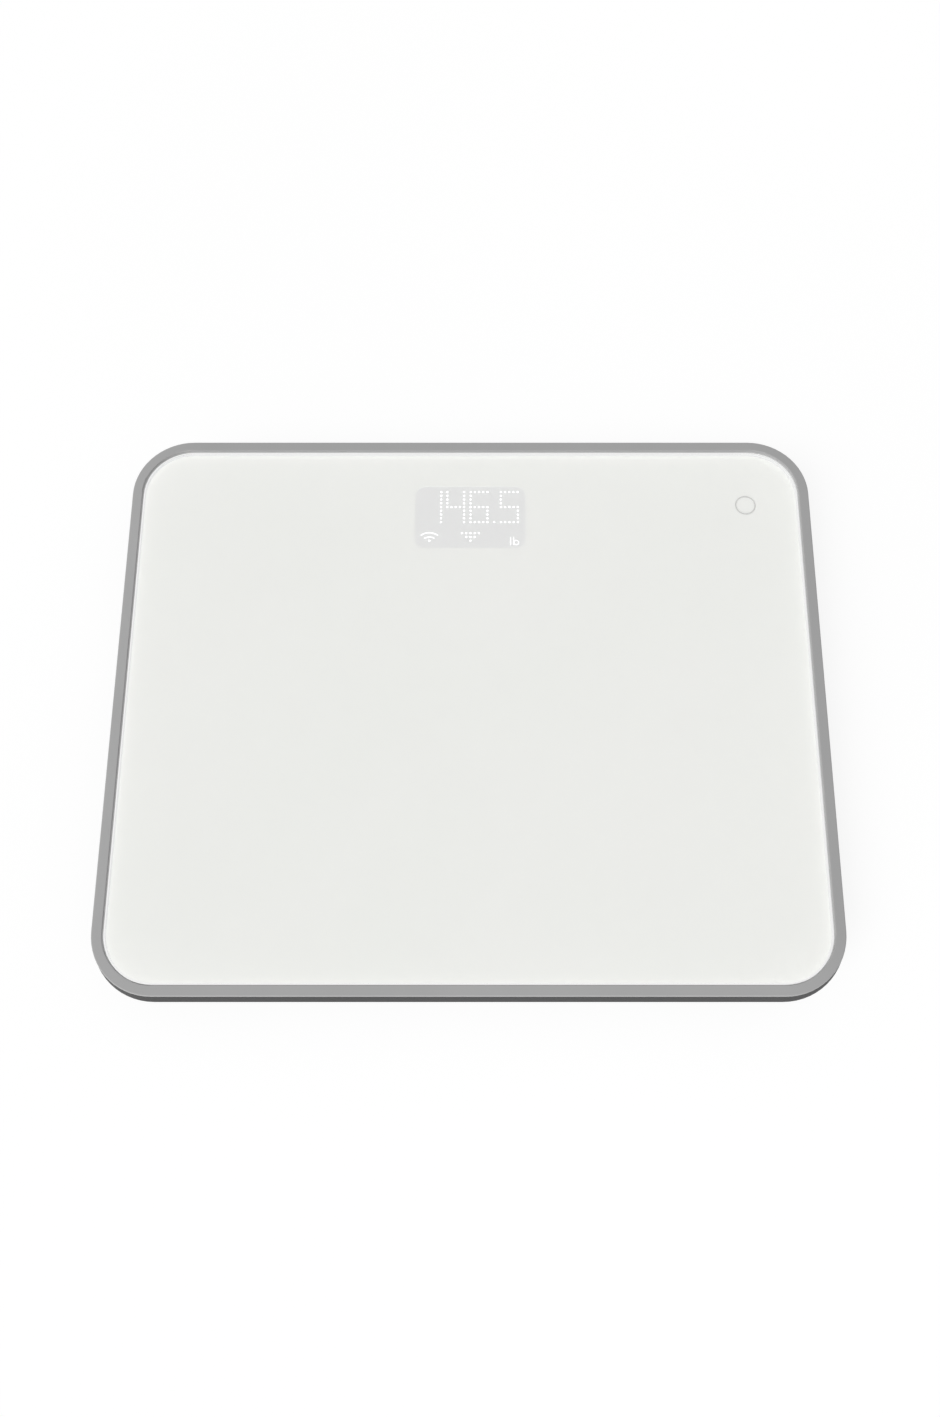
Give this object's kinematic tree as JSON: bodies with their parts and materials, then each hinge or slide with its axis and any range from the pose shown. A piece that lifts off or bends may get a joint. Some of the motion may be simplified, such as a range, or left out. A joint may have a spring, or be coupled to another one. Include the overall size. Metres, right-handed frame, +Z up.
{
  "type": "digital bathroom scale",
  "caption": "Slim rectangular bathroom scale: pale glass platform in a grey rim, dot display at the far edge, sprung corner feet, hinged battery door below.",
  "frame": {"origin": "on the floor under the centre of the platform", "axes": "+Z up, +X to the user's right, +Y away from the user towards the display end"},
  "size_m": [0.3226, 0.2662, 0.025],
  "materials": {
    "platform_glass": "polished, with a rounded edge",
    "back_print": "pale grey-white screen print under the glass",
    "foam_tape": "closed-cell foam",
    "rim_plastic": "fine spark texture",
    "base_plastic": "fine spark texture",
    "foot_plastic": "fine spark texture",
    "foot_rubber": "moulded, matt",
    "screw_steel": "zinc plated",
    "cell_steel": "nickel plated stamping",
    "contact_metal": "nickel plated",
    "shield_metal": "tinned shield",
    "wire_jacket": "soft PVC",
    "cable_jacket": "soft PVC",
    "board": "solder mask",
    "chip_black": "moulded epoxy",
    "component_mix": "ceramic and can parts",
    "natural_plastic": "natural nylon",
    "button_plastic": "fine texture",
    "plunger_plastic": "moulded",
    "window_film": "translucent diffuser",
    "led_package": "phosphor fill",
    "flex_film": "polyimide",
    "battery_jacket": "plain printed sleeve",
    "gauge_silicone": "potting silicone"
  },
  "bodies": {
    "housing": {"glass_top": "platform_glass", "glass_print": "back_print", "glass_tape": "foam_tape", "frame": "rim_plastic", "base_shell": "base_plastic", "case_screws": "screw_steel", "battery_1": "battery_jacket", "battery_2": "battery_jacket", "battery_3": "battery_jacket", "battery_4": "battery_jacket", "battery_springs": "contact_metal", "battery_contacts": "contact_metal", "battery_wires": "wire_jacket", "main_pcb": "board", "wifi_module": "shield_metal", "ic_chips": "chip_black", "pcb_passives": "component_mix", "connectors": "natural_plastic", "pcb_screws": "screw_steel", "tact_switches": "chip_black", "display_window": "window_film", "display_reflector": "natural_plastic", "display_gasket": "foam_tape", "display_leds": "led_package", "display_pcb": "board", "display_screws": "screw_steel", "flex_cable": "flex_film", "carrier_screws": "screw_steel", "load_cell_fl": "cell_steel", "load_cell_fr": "cell_steel", "load_cell_rl": "cell_steel", "load_cell_rr": "cell_steel", "load_cell_carrier_fl": "natural_plastic", "load_cell_carrier_fr": "natural_plastic", "load_cell_carrier_rl": "natural_plastic", "load_cell_carrier_rr": "natural_plastic", "strain_gauge_fl": "gauge_silicone", "strain_gauge_fr": "gauge_silicone", "strain_gauge_rl": "gauge_silicone", "strain_gauge_rr": "gauge_silicone", "cell_cable_fl": "cable_jacket", "cell_cable_fr": "cable_jacket", "cell_cable_rl": "cable_jacket", "cell_cable_rr": "cable_jacket"},
    "battery_door": {"battery_door": "base_plastic"},
    "unit_key": {"unit_button": "button_plastic", "unit_plunger": "plunger_plastic"},
    "sync_key": {"sync_button": "button_plastic", "sync_plunger": "plunger_plastic"},
    "foot_fl": {"foot_cup_fl": "foot_plastic", "foot_pad_fl": "foot_rubber"},
    "foot_fr": {"foot_cup_fr": "foot_plastic", "foot_pad_fr": "foot_rubber"},
    "foot_rl": {"foot_cup_rl": "foot_plastic", "foot_pad_rl": "foot_rubber"},
    "foot_rr": {"foot_cup_rr": "foot_plastic", "foot_pad_rr": "foot_rubber"}
  },
  "joints": [
    {"name": "battery_door_hinge", "type": "hinge", "parent": "housing", "child": "battery_door", "pos_m": [0, -0.0545, 0.0062], "axis": [-1, 0, 0], "range_deg": [0, 90]},
    {"name": "unit_button_press", "type": "slide", "parent": "housing", "child": "unit_key", "axis": [0, 0, 1], "range_m": [0, 0.0004], "stiffness_N_per_m": 2500},
    {"name": "sync_button_press", "type": "slide", "parent": "housing", "child": "sync_key", "axis": [0, 0, 1], "range_m": [0, 0.0004], "stiffness_N_per_m": 2500},
    {"name": "foot_fl_press", "type": "slide", "parent": "housing", "child": "foot_fl", "axis": [0, 0, 1], "range_m": [0, 0.0005], "stiffness_N_per_m": 3000, "springref_m": -0.0026, "deforming": ["load_cell_fl"]},
    {"name": "foot_fr_press", "type": "slide", "parent": "housing", "child": "foot_fr", "axis": [0, 0, 1], "range_m": [0, 0.0005], "stiffness_N_per_m": 3000, "springref_m": -0.0026, "deforming": ["load_cell_fr"]},
    {"name": "foot_rl_press", "type": "slide", "parent": "housing", "child": "foot_rl", "axis": [0, 0, 1], "range_m": [0, 0.0005], "stiffness_N_per_m": 3000, "springref_m": -0.0026, "deforming": ["load_cell_rl"]},
    {"name": "foot_rr_press", "type": "slide", "parent": "housing", "child": "foot_rr", "axis": [0, 0, 1], "range_m": [0, 0.0005], "stiffness_N_per_m": 3000, "springref_m": -0.0026, "deforming": ["load_cell_rr"]}
  ]
}
